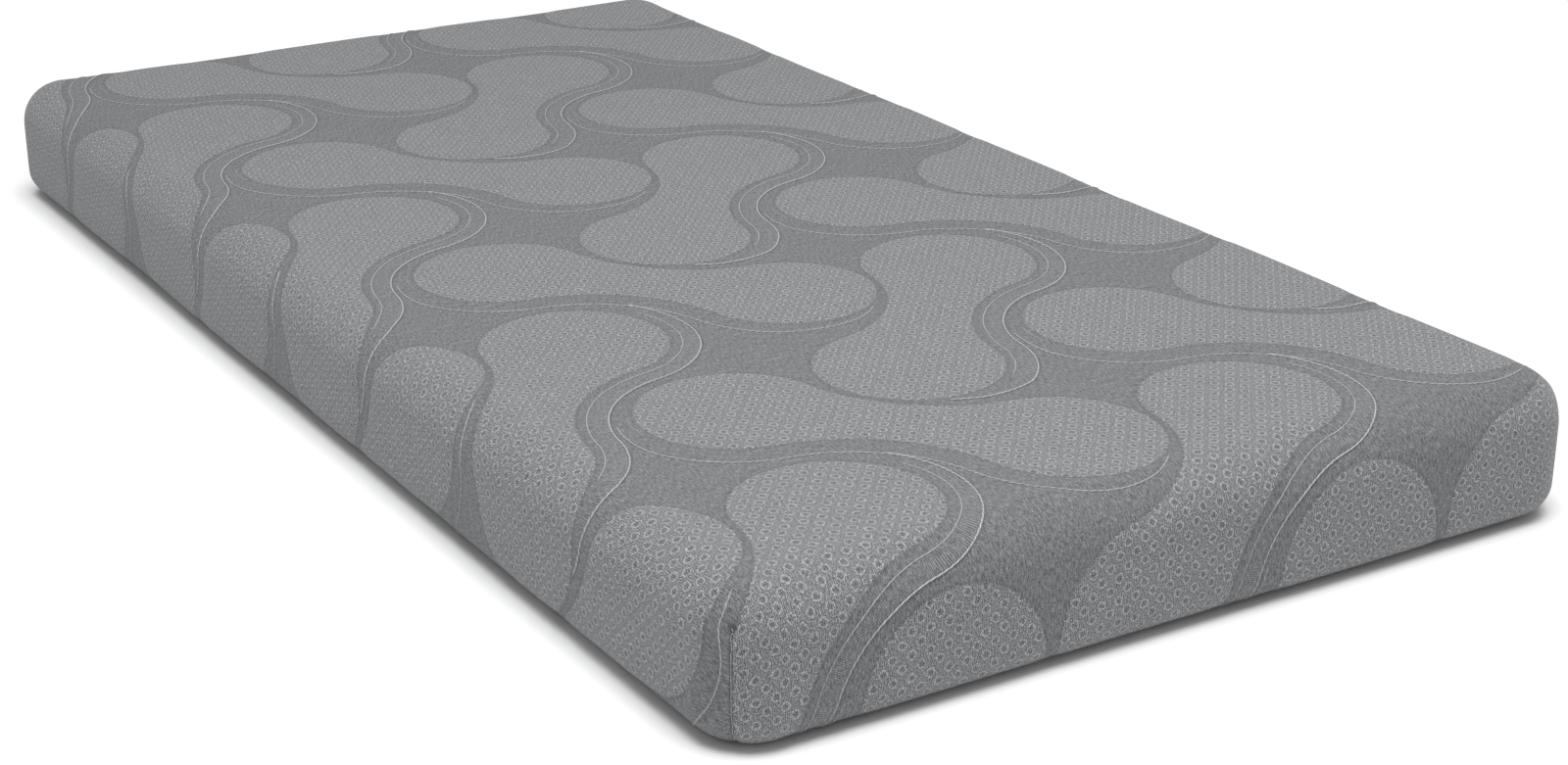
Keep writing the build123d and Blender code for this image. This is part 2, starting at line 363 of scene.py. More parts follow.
def profile(points):
    """Each point's direction outwards in plan, its angle round its corner, and its run down the cloth."""
    out = np.maximum(np.abs(points[:, :2]) - (core_x, core_y), 0)
    reach = np.hypot(*out.T)
    angle = np.arctan2(out[:, 1], out[:, 0])
    height = points[:, 2]
    top_turn = np.arctan2(reach - flat_start, height - (thickness - top_radius))
    foot_turn = np.arctan2(foot_radius - height, reach - (corner_radius - foot_radius))
    top_run = top_radius * np.clip(top_turn, 0, math.pi / 2)
    foot_reach = arc_run + wall_run + foot_radius * np.clip(foot_turn, 0, math.pi / 2)
    run = np.where(reach < flat_start, reach - flat_start, top_run)
    run = np.where(height < thickness - top_radius, arc_run + thickness - top_radius - height, run)
    run = np.where(height < foot_radius, foot_reach, run)
    under = (height < MM) & (reach < corner_radius - foot_radius)
    run = np.where(under, whole_run + corner_radius - foot_radius - reach, run)
    return reach, angle, run, under


def on_form(points):
    """Points moved onto the cover's true rounded form, with the outward normal there."""
    reach, angle, run, under = profile(points)
    side = np.where(points[:, :2] < 0, -1.0, 1.0)
    plan = np.stack([np.cos(angle), np.sin(angle)], 1) * side
    top_turn = np.clip(run / top_radius, 0, math.pi / 2)
    foot_turn = np.clip((run - arc_run - wall_run) / foot_radius, 0, math.pi / 2)
    lean = np.where(run < arc_run, np.sin(top_turn), np.cos(foot_turn))
    rise = np.where(run < arc_run, np.cos(top_turn), -np.sin(foot_turn))
    flat_top = run <= 0
    lean = np.where(flat_top | under, 0, lean)
    rise = np.where(flat_top, 1.0, np.where(under, -1.0, rise))
    shoulder = run < arc_run
    foot_far = corner_radius - foot_radius * (1 - np.cos(foot_turn))
    far = np.where(shoulder, flat_start + top_radius * np.sin(top_turn), foot_far)
    wall_level = thickness - top_radius - (run - arc_run)
    level = np.where(shoulder, thickness - top_radius * (1 - np.cos(top_turn)), wall_level)
    level = np.where(run > arc_run + wall_run, foot_radius * (1 - np.sin(foot_turn)), level)
    far = np.where(flat_top | under, reach, far)
    level = np.where(flat_top, thickness, np.where(under, 0, level))
    inner = np.clip(points[:, :2], (-core_x, -core_y), (core_x, core_y))
    placed = np.column_stack([inner + plan * far[:, None], level])
    return placed, np.column_stack([plan * lean[:, None], rise])


def on_cloth(points, middles):
    """Each point's place on the flat cloth, in metres, taking its side of a dart from middles."""
    reach, angle, run, under = profile(points)
    beyond = np.maximum(np.abs(middles[:, :2]) - (core_x, core_y), 0)
    across = beyond[:, 1] > beyond[:, 0]
    turn = np.where(across, math.pi / 2 - angle, angle)
    corner = (out_of(points, 0) > 0) & (out_of(points, 1) > 0)
    span = flat_start + run
    straight = span * math.cos(math.pi / 4)
    slow = dart_width + (run - dart_head) * (flat_start + whole_run - dart_width) / (whole_run - dart_head)
    dart_out = np.where(run < dart_head, straight, slow)
    dart_side = np.where(run < dart_head, straight, dart_width)
    share = (1 - np.cos(turn)) / (1 - math.cos(math.pi / 4))
    depth = span * (1 - share) + dart_out * share
    along = dart_side * np.sin(turn) / math.sin(math.pi / 4)
    first = np.where(across, along, depth)
    second = np.where(across, depth, along)
    side_x = np.where(out_of(points, 0) > 0, span, out_of(points, 0))
    side_y = np.where(out_of(points, 1) > 0, span, out_of(points, 1))
    folded_x = np.sign(middles[:, 0]) * (core_x + np.where(corner, first, side_x))
    folded_y = np.sign(middles[:, 1]) * (core_y + np.where(corner, second, side_y))
    flat_x = np.where(out_of(points, 0) > 0, folded_x, points[:, 0])
    flat_y = np.where(out_of(points, 1) > 0, folded_y, points[:, 1])
    turned_x = flat_x * math.cos(cloth_turn) + flat_y * math.sin(cloth_turn)
    turned_y = flat_y * math.cos(cloth_turn) - flat_x * math.sin(cloth_turn)
    return np.column_stack([turned_x, turned_y])


def out_of(points, axis):
    """How far points lie out of the plan's inner rectangle along one axis: negative inside it."""
    return np.abs(points[:, axis]) - (core_x, core_y)[axis]


# ---- Cover: the figures ----
# The jacquard's figures are pods: two round lobes joined by a waisted neck. They lie on a repeat of
# 467 by 475 mm, one leaning each way, with bare melange between them and outlines of raised cord.
repeat = np.array((467.1, 474.6)) * MM
lobe_radius = 97 * MM
waist = 46 * MM
falling_pod = (np.array((-284.4, -587.9)) * MM, np.array((-60.7, -808.9)) * MM)
rising_pod = (np.array((-74.7, -579.5)) * MM, np.array((140.4, -350.6)) * MM)


def pod_frame(pod):
    """A pod's middle, its long axis, the side that its outline cord runs on, and its neck's arc."""
    start, end = pod
    half = np.linalg.norm(end - start) / 2
    axis = (end - start) / (2 * half)
    side = np.array((axis[1], -axis[0]))
    neck_radius = (half**2 + waist**2 - lobe_radius**2) / (2 * (lobe_radius - waist))
    return (start + end) / 2, axis, side, half, neck_radius


def pod_distance(flat, pod):
    """Distance from each flat point to the nearest such pod's edge, negative inside it."""
    middle, axis, side, half, neck_radius = pod_frame(pod)
    away = flat - middle
    away = away - np.round(away / repeat) * repeat
    along = np.abs(away @ axis)
    across = np.abs(away @ side)
    neck_middle = waist + neck_radius
    in_neck = along * neck_middle + across * half < half * neck_middle
    lobe = np.hypot(along - half, across) - lobe_radius
    neck = neck_radius - np.hypot(along, across - neck_middle)
    return np.where(in_neck, neck, lobe)


def cord_route(pod, start, stop, offset):
    """Points along one side of a pod, offset outwards: offset is a list of (share of the way, distance)."""
    middle, axis, side, half, neck_radius = pod_frame(pod)
    neck_middle = waist + neck_radius
    tangent = math.atan2(neck_middle, -half)
    places = []
    for angle in np.arange(start, tangent, knot_step / lobe_radius):
        places.append((half, 0, lobe_radius, 1, angle))
    for angle in np.arange(tangent, math.pi - tangent, -knot_step / neck_radius):
        places.append((0, neck_middle, neck_radius, -1, angle - math.pi))
    for angle in np.arange(math.pi - tangent, stop, knot_step / lobe_radius):
        places.append((-half, 0, lobe_radius, 1, angle))
    shares, distances = np.array(offset).T
    route = []
    for place, (along, across, radius, sense, angle) in enumerate(places):
        far = radius + sense * np.interp(place / len(places), shares, distances)
        on_axis = along + far * math.cos(angle)
        off_axis = across + far * math.sin(angle)
        route.append(middle + axis * on_axis + side * off_axis)
    return np.array(route)


count = len(cover.data.vertices)
rough_form = np.empty(count * 3)
cover.data.vertices.foreach_get("co", rough_form)
form, outward = on_form(rough_form.reshape(-1, 3))
flat = on_cloth(form, form)
edge = np.minimum(pod_distance(flat, falling_pod), pod_distance(flat, rising_pod))

# Pods stand a little proud of the melange. The side walls swell between their edges, and all of it calms
# down round the zip, the label and the hem, where the cloth is held flat.
pod_rise = 0.8 * MM
pod_shoulder = 16 * MM
wall_swell = 1.1 * MM
swell_start = 20 * MM
seam_depth = 2.0 * MM
seam_reach = 5 * MM
pucker_depth = 3.4 * MM
pucker_reach = 8 * MM
label_low, label_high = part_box("law_label")
label_middle = (np.array(label_low) + np.array(label_high)) / 2


def eased(value, low, high):
    share = np.clip((value - low) / (high - low), 0, 1)
    return share * share * (3 - 2 * share)


reach, angle, run, under = profile(form)
near_zip = (form[:, 0] > half_width - 5 * MM) * (1 - eased(np.abs(form[:, 2] - slot_z), 12 * MM, 30 * MM))
near_zip = near_zip * (1 - eased(np.abs(form[:, 1]), slot_end + 5 * MM, slot_end + 30 * MM))
off_label = np.abs(form[:, 0] - label_middle[0])
near_label = (form[:, 1] > half_length - 5 * MM) * (1 - eased(off_label, 34 * MM, 50 * MM))
near_label = near_label * (1 - eased(np.abs(form[:, 2] - label_middle[2]), 26 * MM, 40 * MM))
free = (1 - near_zip) * (1 - near_label) * (1 - eased(run, whole_run - 30 * MM, whole_run - 5 * MM))
relief = pod_rise * eased(-edge, -2 * MM, pod_shoulder)
swell = wall_swell * np.sin(np.clip((run - swell_start) / (whole_run - swell_start), 0, 1) * math.pi)
ripple = np.sin(form[:, 0] * 21 + 1.3) * np.sin(form[:, 1] * 17 + 0.4)
wander = 0.5 * MM * (ripple + np.sin(form[:, 1] * 9 - form[:, 0] * 13))
from_dart = np.abs(angle - math.pi / 4) * corner_radius + (reach < 30 * MM) * 1.0
dart = -seam_depth * np.exp(-((from_dart / seam_reach) ** 2))
dart = dart * eased(run, dart_head - 4 * MM, dart_head + 10 * MM)
from_head = np.hypot(from_dart, run - dart_head)
pucker = -pucker_depth * np.exp(-((from_head / pucker_reach) ** 2))
shift = free * (relief + swell + wander) + dart * (1 - eased(run, whole_run - 12 * MM, whole_run)) + pucker
shaped = form + outward * shift[:, None]
shaped[:, 2] = np.maximum(shaped[:, 2], 0)
cover.data.vertices.foreach_set("co", shaped.ravel())
cover.data.update()


def choose_open_edges():
    """Selects, in edit mode, the edges where a mesh is open."""
    bpy.ops.mesh.select_all(action="DESELECT")
    bpy.ops.mesh.select_mode(type="EDGE")
    kinds = {"use_multi_face": False, "use_non_contiguous": False, "use_verts": False}
    bpy.ops.mesh.select_non_manifold(extend=False, **kinds)


# The slot is pushed in behind the zip, and the hem is turned up round the base panel.
only(cover)
pocket = 5.5 * MM
inner_wall = half_width - 2 * MM
choose(cover, "FACE", lambda x, y, z: (x > inner_wall) & (abs(z - slot_z) < slot_half) & (abs(y) < slot_end))
bpy.ops.mesh.extrude_region_move(TRANSFORM_OT_translate={"value": (-pocket, 0, 0)})
choose_open_edges()
bpy.ops.mesh.extrude_region_move(TRANSFORM_OT_translate={"value": (0, 0, panel_high.z + 0.2 * MM)})
bpy.ops.mesh.edge_face_add()
bpy.ops.object.mode_set(mode="OBJECT")
bpy.ops.object.shade_smooth()

# Each corner of each face keeps its place on the flat cloth and its distance from the pods' edges.
mesh = cover.data
count = len(mesh.vertices)
places = np.empty(count * 3)
mesh.vertices.foreach_get("co", places)
places = places.reshape(-1, 3)
corners = np.empty(len(mesh.loops), int)
mesh.loops.foreach_get("vertex_index", corners)
totals = np.empty(len(mesh.polygons), int)
mesh.polygons.foreach_get("loop_total", totals)
middles = np.empty(len(mesh.polygons) * 3)
mesh.polygons.foreach_get("center", middles)
middles = np.repeat(middles.reshape(-1, 3), totals, axis=0)
flat = on_cloth(places[corners], middles)
mesh.uv_layers.new(name="cloth")
mesh.uv_layers["cloth"].data.foreach_set("uv", flat.astype(np.float32).ravel())
edge = np.minimum(pod_distance(flat, falling_pod), pod_distance(flat, rising_pod))

# ---- Cover: routes of the outline cords ----
# Each pod has a cord along one long side. The rising pods have a second, finer one inside it, with fine
# ribs knitted between the two.
turn = math.radians
knot_step = 4 * MM
outline_offset = ((0, 28), (0.1, 29), (0.3, 33), (0.85, 31), (0.94, 16), (1, 3))
soft_offset = ((0, 5), (0.06, 14), (0.2, 27), (0.5, 32), (0.9, 31), (1, 20))
cord_kinds = (
    ("outline_cord", 0.85, 0.62, rising_pod, turn(11), turn(152), outline_offset),
    ("soft_outline_cord", 0.75, 0.54, falling_pod, turn(14), turn(148), soft_offset),
    ("inner_cord", 0.6, 0.58, rising_pod, turn(22), turn(98), ((0, 13), (0.4, 12), (0.75, 11), (1, 8))),
    ("lobe_cord", 0.5, 0.50, falling_pod, turn(128), turn(158), ((0, 15), (0.5, 12), (1, 7))),
)
repeats = [(across, along) for across in range(-2, 4) for along in range(-2, 5)]
routes = {}
for name, radius, light, pod, start, stop, offset in cord_kinds:
    offset = [(share, distance * MM) for share, distance in offset]
    route = cord_route(pod, start, stop, offset)
    if name == "lobe_cord":
        route = route[-int((stop - start) * lobe_radius / knot_step):]
    routes[name] = [route + repeat * cell for cell in repeats]

across = np.full(len(flat), 1.0)
along = np.zeros(len(flat))
reach_of_band = 60 * MM
for route in routes["outline_cord"]:
    low, high = route.min(0) - reach_of_band, route.max(0) + reach_of_band
    near = np.flatnonzero(((flat > low) & (flat < high)).all(1))
    if not len(near):
        continue
    for some in np.array_split(near, max(1, len(near) // 20000)):
        gaps = np.linalg.norm(flat[some][:, None] - route[None], axis=2)
        closest = gaps.argmin(1)
        heading = np.gradient(route, axis=0)[closest]
        heading /= np.linalg.norm(heading, axis=1)[:, None]
        offset = flat[some] - route[closest]
        side = heading[:, 0] * offset[:, 1] - heading[:, 1] * offset[:, 0]
        better = gaps.min(1) < np.abs(across[some])
        take = some[better]
        across[take] = np.where(np.abs(side[better]) > 1e-9, np.sign(side[better]), 1) * gaps.min(1)[better]
        along[take] = closest[better] * knot_step + (offset * heading).sum(1)[better]
for name, values in (("pod_edge", edge), ("band_across", across), ("band_along", along)):
    stored = mesh.attributes.new(name, "FLOAT", "CORNER")
    stored.data.foreach_set("value", values.astype(np.float32))

# ---- Cover: the knit ----
# The ground is melange grey. Inside the pods lighter yarn is floated up into small rings, on a fine knit
# that ripples round them, and beside each outline cord a narrow band is ribbed across.
ring_pitch = np.array((19.46, 22.07))
ring_radius = 4.4
ring_half = 0.9
wale_pitch = ring_pitch[0] / 10
course_pitch = ring_pitch[1] / 12
finish = Finish("cover_knit", Specular_IOR_Level=0.2, Sheen_Weight=0.15, Sheen_Roughness=0.5)
cloth_place = finish.node("UVMap", {"uv_map": "cloth"})
in_mm = finish.stretched(cloth_place, (1000, 1000, 0))
wobble_size = 3.2
wobble_sockets = {"Vector": in_mm, "Scale": 0.22, "Detail": 1.0}
wobble = finish.node("TexNoise", {"noise_dimensions": "2D"}, wobble_sockets, "Color")
nudge = finish.vector("MULTIPLY_ADD", wobble, (wobble_size, wobble_size, 0), in_mm)
to_edge = finish.node("Attribute", {"attribute_name": "pod_edge"}, output="Fac") * 1000
band_far = finish.node("Attribute", {"attribute_name": "band_across"}, output="Fac") * 1000
band_run = finish.node("Attribute", {"attribute_name": "band_along"}, output="Fac") * 1000


def ring_distance(shift):
    """Distance to the nearest middle of one of the two sets of rings, which lie half a pitch apart."""
    share = (1 / ring_pitch[0], 1 / ring_pitch[1], 0)
    lattice = finish.vector("MULTIPLY_ADD", nudge, share, (shift, shift, 0))
    cell = finish.vector("FRACTION", lattice)
    local = finish.vector("MULTIPLY_ADD", cell, (*ring_pitch, 0), (*(-ring_pitch / 2), 0))
    round_far = finish.vector("LENGTH", local, output="Value")
    square_far = finish.vector("DOT_PRODUCT", finish.vector("ABSOLUTE", local), (1, 1, 0), output="Value")
    return round_far * 0.8 + square_far * 0.2


def lines(phase, pitch):
    """Fine light lines, 0 to 1, wherever the phase passes a whole pitch."""
    return finish.sums("SINE", phase * (2 * math.pi / pitch)) * 0.5 + 0.5


nearest = finish.node("Math", {"operation": "MINIMUM"}, {0: ring_distance(0.0), 1: ring_distance(0.5)})
off_ring = finish.sums("ABSOLUTE", nearest - ring_radius)
beads = finish.step(finish.noise(in_mm, 0.62, 2.0, 0.7), 0.38, 0.60)
ring = (1 - finish.step(off_ring, ring_half * 0.3, ring_half * 1.5)) * (beads * 0.92 + 0.08)
hollow = 1 - finish.step(nearest, 1.9, 3.4)
moat = 1 - finish.step(finish.sums("ABSOLUTE", nearest - 6.2), 0.3, 1.1)
wales = lines(finish.part_of(nudge, "X"), wale_pitch)
courses = lines(finish.part_of(nudge, "Y"), course_pitch)
fine = wales * 0.75 + courses * 0.25
loops = finish.noise(finish.stretched(in_mm, (1.0, 0.75, 1.0)), 0.95, 2.0, 0.6)
streaks = finish.noise(finish.stretched(in_mm, (1.0, 0.22, 1.0)), 0.62, 3.0, 0.7)
flecks = finish.step(finish.noise(finish.stretched(in_mm, (1.0, 0.3, 1.0)), 1.5, 1.0), 0.3, 0.75)
cloud = finish.noise(in_mm, 0.03, 2.0)
in_pod = 1 - finish.step(to_edge + (loops - 0.5) * 3, -0.9, 0.9)
rib = lines(band_run, 2.3)
in_band = finish.step(band_far * -1, 0.8, 2.2) * (1 - finish.step(band_far * -1, 15.0, 19.0)) * (1 - in_pod)
in_band = in_band * finish.step(band_run, 40.0, 130.0) * (1 - finish.step(band_run, 480.0, 560.0))
# Along each pod's edge and beside each outline cord the cloth dips into a crease: these masks sink the bump
# there and darken the tone there as painted shade.
edge_crease_and_shade = 1 - finish.step(finish.sums("ABSOLUTE", to_edge - 1.2), 0.5, 3.0)
cord_crease_and_shade = 1 - finish.step(finish.sums("ABSOLUTE", band_far - 1.9), 0.5, 2.4)

clumps = finish.noise(in_mm, 0.5, 2.0) - 0.5
pod_tone = fine * (loops * 1.3) * 0.95 + (loops - 0.5) * 1.40 + clumps * 0.95
pod_tone = pod_tone + ring * 0.52 - hollow * 0.18 - moat * 0.05 - 0.03
ground_tone = (streaks - 0.5) * 1.30 + flecks * 0.22 + (loops - 0.5) * 0.75 + clumps * 0.35 + 0.095
ground_tone = ground_tone + in_band * (rib - 0.42) * 0.30
# Painted shade: the tone is darkened along the pods' edges and beside the cords.
tone = in_pod * pod_tone + (1 - in_pod) * ground_tone - edge_crease_and_shade * 0.05 - cord_crease_and_shade * 0.10 * (1 - in_pod)
tone = tone + (cloud - 0.5) * 0.06

# The cloth turns in along each dart's seam, and is gathered to a dimple where the seam begins; both are sunk
# in the bump and painted darker in the tone, as painted shade.
head_out = (flat_start + top_radius * math.sin(dart_head / top_radius)) * math.cos(math.pi / 4)
head_height = thickness - top_radius * (1 - math.cos(dart_head / top_radius))
seam_head = Vector((core_x + head_out, core_y + head_out, head_height)) * 1000
corner_place = finish.stretched(finish.vector("ABSOLUTE", finish.place()), (1000, 1000, 1000))
corner_x, corner_y, corner_z = (finish.part_of(corner_place, axis) for axis in "XYZ")
off_seam = finish.sums("ABSOLUTE", corner_x - corner_y - (core_x - core_y) * 1000)
seam_fold_and_shade = (1 - finish.step(off_seam, 0.6, 3.2)) * (1 - finish.step(corner_z, seam_head.z - 4, seam_head.z))
seam_fold_and_shade = seam_fold_and_shade * finish.step(corner_y, core_y * 1000 + 12, core_y * 1000 + 16)
from_head = finish.vector("DISTANCE", corner_place, seam_head, output="Value")
dimple_and_shade = 1 - finish.step(from_head + (loops - 0.5) * 3, 1.0, 6.5)
# Painted shade along the dart's seam and in the dimple at its head.
tone = tone - seam_fold_and_shade * 0.26 - dimple_and_shade * 0.42
tone = finish.node("Clamp", {}, {"Value": tone})
shade = finish.mixed(tone, (0.080, 0.082, 0.087), (0.470, 0.478, 0.490))
height = in_pod * (ring * 0.5 + fine * 0.2 + loops * 0.2 + 0.1)
height = height + (1 - in_pod) * (streaks * 0.25 + in_band * rib * 0.22) - edge_crease_and_shade * 0.3 - cord_crease_and_shade * 0.4
height = height - seam_fold_and_shade * 0.5 - dimple_and_shade * 0.8
cover_material = finish.done(shade, 0.86 + loops * 0.1, height, 0.8 * MM, 0.5)
dress(cover, cover_material, "mattress", "cover_knit", "cover_top_panel")

# ---- Cover: outline cords ----
# A light, loosely plied yarn is laid in along each outline and held down by the knit, so that it stands up
# from the cloth as a fine raised cord. It follows the folded cloth and stops where a dart cuts it off.
ply_pitch = 7.4 * MM
cut_gap = 0.4 * MM
longest_step = 12 * MM
stand_share = 0.35
hem_clearance = 2.5 * MM
label_half_width = (label_high.x - label_low.x) / 2
label_half_height = (label_high.z - label_low.z) / 2


def cord_finish(name, light):
    """Two loosely twisted plies of light yarn, with the groove between them winding round the cord; the
    groove is painted in a darker copy of the yarn's colour, as painted shade.
    """
    finish = Finish(name, Specular_IOR_Level=0.25, Sheen_Weight=0.2)
    place = finish.place()
    ply = finish.node("Attribute", {"attribute_name": "ply"}, output="Vector")
    run = finish.part_of(ply, "Z") * (2 * math.pi / ply_pitch)
    wound = finish.sums("SINE", run) * finish.part_of(ply, "X")
    wound = wound + finish.sums("COSINE", run) * finish.part_of(ply, "Y")
    crown = finish.step(wound, -0.7, 0.6)
    fibres = finish.noise(place, 1400.0, 2.0)
    worn = finish.step(finish.noise(place, 90.0, 2.0), 0.25, 0.75)
    lit = (light, 1.01 * light, 1.03 * light)
    # Painted shade: the colour in the groove between the plies.
    groove_shade_colour = tuple(0.32 * channel for channel in lit)
    # Painted shade: each cord's colour is darker low down on the side walls, below 40 mm, than on the top,
    # blending up to 125 mm.
    painted_wall_shade = finish.step(finish.part_of(place, "Z"), 40 * MM, 125 * MM) * 0.38 + 0.62
    shade = finish.mixed((crown * 0.66 + fibres * 0.18 + worn * 0.16) * painted_wall_shade, groove_shade_colour, lit)
    return finish.done(shade, 0.8, crown * 0.8 + fibres * 0.2, 0.35 * MM)


starts = np.cumsum(totals) - totals
tri_loops = []
for corner_number in (1, 2):
    keep = (totals > corner_number + 1) & (totals < 5)
    first = starts[keep]
    tri_loops.append(np.column_stack([first, first + corner_number, first + corner_number + 1]))
tri_loops = np.concatenate(tri_loops)
tri_loops = tri_loops[middles[tri_loops[:, 0], 2] > 0.5 * MM]
flat_points = np.column_stack([flat, np.zeros(len(flat))])
cloth_map = BVHTree.FromPolygons([Vector(point) for point in flat_points], tri_loops.tolist(), epsilon=0)
real_points = places[corners]


def hidden(place):
    """Whether a place on the cover is behind the label, in the zip's slot or round on the underside."""
    behind_label = abs(place[0] - label_middle[0]) < label_half_width
    behind_label = behind_label and abs(place[2] - label_middle[2]) < label_half_height
    behind_label = behind_label and place[1] > half_length - 8 * MM
    in_slot = abs(place[2] - slot_z) < slot_half and abs(place[1]) < slot_end
    in_slot = in_slot and place[0] > zip_wall
    return behind_label or in_slot or place[2] < hem_clearance


def laid(point):
    """Where a place on the flat cloth lies on the folded cover, or None where no cord shows."""
    spot, _, face, gap = cloth_map.find_nearest(Vector((point[0], point[1], 0)))
    if gap > cut_gap:
        return None
    flat_three = [Vector(flat_points[loop]) for loop in tri_loops[face]]
    real_three = [Vector(real_points[loop]) for loop in tri_loops[face]]
    spot = barycentric_transform(spot, *flat_three, *real_three)
    if hidden(spot):
        return None
    normal = (real_three[1] - real_three[0]).cross(real_three[2] - real_three[0]).normalized()
    return spot, normal


def cord_piece(name, radius, several):
    """One piece of raised cord along several routes on the cloth, broken wherever the cloth is cut."""
    curve = bpy.data.curves.new(name, "CURVE")
    curve.dimensions = "3D"
    curve.bevel_depth = radius
    curve.bevel_resolution = 1
    stretches = []
    for route in several:
        stretch = []
        for point in [*route, None]:
            found = laid(point) if point is not None else None
            if found and (not stretch or (found[0] - stretch[-1]).length < longest_step):
                stretch.append(found[0] + found[1] * radius * stand_share)
                continue
            if len(stretch) > 4:
                spline = curve.splines.new("POLY")
                spline.points.add(len(stretch) - 1)
                for knot, place in zip(spline.points, stretch):
                    knot.co = (*place, 1)
                spline.points[0].radius = 0.001
                spline.points[-1].radius = 0.001
                stretches.append(np.array(stretch))
            stretch = [found[0] + found[1] * radius * stand_share] if found else []
    piece = bpy.data.objects.new(name, curve)
    bpy.context.scene.collection.objects.link(piece)
    only(piece)
    bpy.ops.object.convert(target="MESH")
    bpy.ops.object.shade_smooth()
    piece = bpy.context.object
    bpy.ops.object.transform_apply(location=True, rotation=True, scale=True)
    steps = [np.linalg.norm(np.diff(stretch, axis=0), axis=1) for stretch in stretches]
    runs = np.concatenate([[0.0, *np.cumsum(step)] for step in steps])
    sides = len(piece.data.vertices) // len(runs)
    around = np.tile(np.arange(sides) * 4 * math.pi / sides, len(runs))
    ply = np.column_stack([np.cos(around), np.sin(around), np.repeat(runs, sides)])
    stored = piece.data.attributes.new("ply", "FLOAT_VECTOR", "POINT")
    stored.data.foreach_set("vector", ply.astype(np.float32).ravel())
    return piece


for name, radius, light, *_ in cord_kinds:
    piece = cord_piece(name, radius * MM, routes[name])
    dress(piece, cord_finish(name, light), "mattress", "cover_knit")

# ---- Corner seams ----
# Each dart is closed with a chain stitch in matching polyester thread, from the shoulder of the mattress
# down to the hem. Where the seam ends at the top, the cloth is drawn in to a small pucker.
grey_thread = thread_finish("grey_thread", (0.42, 0.428, 0.44), 0.9)


def stitch(name, length, radius, material):
    """One stitch along Y with +Z up: a short run of thread whose two ends dip into the cloth."""
    lying = (math.pi / 2, 0, 0)
    bpy.ops.object.select_all(action="DESELECT")
    bpy.ops.mesh.primitive_cylinder_add(vertices=6, radius=radius, depth=0.6 * length, rotation=lying)
    piece = bpy.context.object
    piece.name = name
    bpy.ops.object.transform_apply(location=True, rotation=True, scale=True)
    for end in (1, -1):
        choose(piece, "FACE", lambda x, y, z: end * y > 0.29 * length)
        dip = (0, end * 0.2 * length, -0.8 * radius)
        bpy.ops.mesh.extrude_region_move(TRANSFORM_OT_translate={"value": dip})
        bpy.ops.transform.resize(value=(0.5, 1, 0.5), center_override=(0, end * 0.5 * length, -0.8 * radius))
    bpy.ops.object.mode_set(mode="OBJECT")
    bpy.ops.object.shade_smooth()
    piece.data.materials.append(material)
    return piece


def stood(piece, place, heading, up):
    """Lays a stitch's mesh at a place, along a heading, with its crown towards up."""
    heading = Vector(heading).normalized()
    side = heading.cross(Vector(up)).normalized()
    frame_of_stitch = Matrix((side, heading, side.cross(heading))).transposed().to_4x4()
    piece.data.transform(Matrix.Translation(place) @ frame_of_stitch)


seam_pitch = 3.2 * MM
seam_lift = 0.5 * MM
seam_end = whole_run - 22 * MM
for node, side_x, side_y in (
    ("corner_seam_foot_left", -1, -1),
    ("corner_seam_foot_right", 1, -1),
    ("corner_seam_head_left", -1, 1),
    ("corner_seam_head_right", 1, 1),
):
    runs = np.arange(dart_head + 1 * MM, seam_end, seam_pitch)
    first = stitch(node + "_stitches", seam_pitch * 1.05, 0.55 * MM, grey_thread)
    several = []
    for run_here in runs:
        ends = []
        for place in (run_here - seam_pitch / 2, run_here + seam_pitch / 2):
            if place < arc_run:
                far = flat_start + top_radius * math.sin(place / top_radius)
                height = thickness - top_radius * (1 - math.cos(place / top_radius))
            elif place > arc_run + wall_run:
                turned = (place - arc_run - wall_run) / foot_radius
                far = corner_radius - foot_radius * (1 - math.cos(turned))
                height = foot_radius * (1 - math.sin(turned))
            else:
                far = corner_radius
                height = thickness - top_radius - (place - arc_run)
            out = far * math.cos(math.pi / 4)
            aim = (side_x * (core_x + out), side_y * (core_y + out), height)
            on_it = cover.closest_point_on_mesh(aim)
            ends.append(on_it[1] + Vector((side_x, side_y, 0)).normalized() * seam_lift)
        one = bpy.data.objects.new(node + "_stitch", first.data.copy())
        stood(one, (ends[0] + ends[1]) / 2, ends[1] - ends[0], (side_x, side_y, 0.3))
        bpy.context.scene.collection.objects.link(one)
        several.append(one)
    bpy.data.objects.remove(first)
    bpy.ops.object.select_all(action="DESELECT")
    for one in several:
        one.select_set(True)
    bpy.context.view_layer.objects.active = several[0]
    bpy.ops.object.join()
    seam = bpy.context.object
    seam.name = node + "_stitches"
    dress(seam, grey_thread, "mattress", "seam_thread", node)

# ---- Base panel ----
# The underside is a single panel of plain dark polyester cloth, laid inside the hem and overlocked to it.
# It is stretched flat by the foam that stands on it.
weave_pitch = 1.8 * MM
finish = Finish("base_cloth", Specular_IOR_Level=0.2, Sheen_Weight=0.2)
place = finish.place()
warp = finish.ripple(place, "X", weave_pitch)
weft = finish.ripple(place, "Y", weave_pitch)
slubs = finish.noise(finish.stretched(place, (1.0, 6.0, 1.0)), 260.0)
weave = warp * 0.4 + weft * 0.4 + slubs * 0.2
worn = finish.noise(place, 7.0, 3.0)
dyed = finish.mixed(weave * 0.75 + worn * 0.25, (0.070, 0.073, 0.079), (0.250, 0.256, 0.268))
base_material = finish.done(dyed, 0.85 + slubs * 0.1, weave, 0.3 * MM)
bpy.ops.object.select_all(action="DESELECT")
panel_size = panel_high - panel_low
bpy.ops.mesh.primitive_plane_add(size=1, location=(0, 0, 0.45 * MM))
base_panel = bpy.context.object
base_panel.name = "base_cloth_panel"
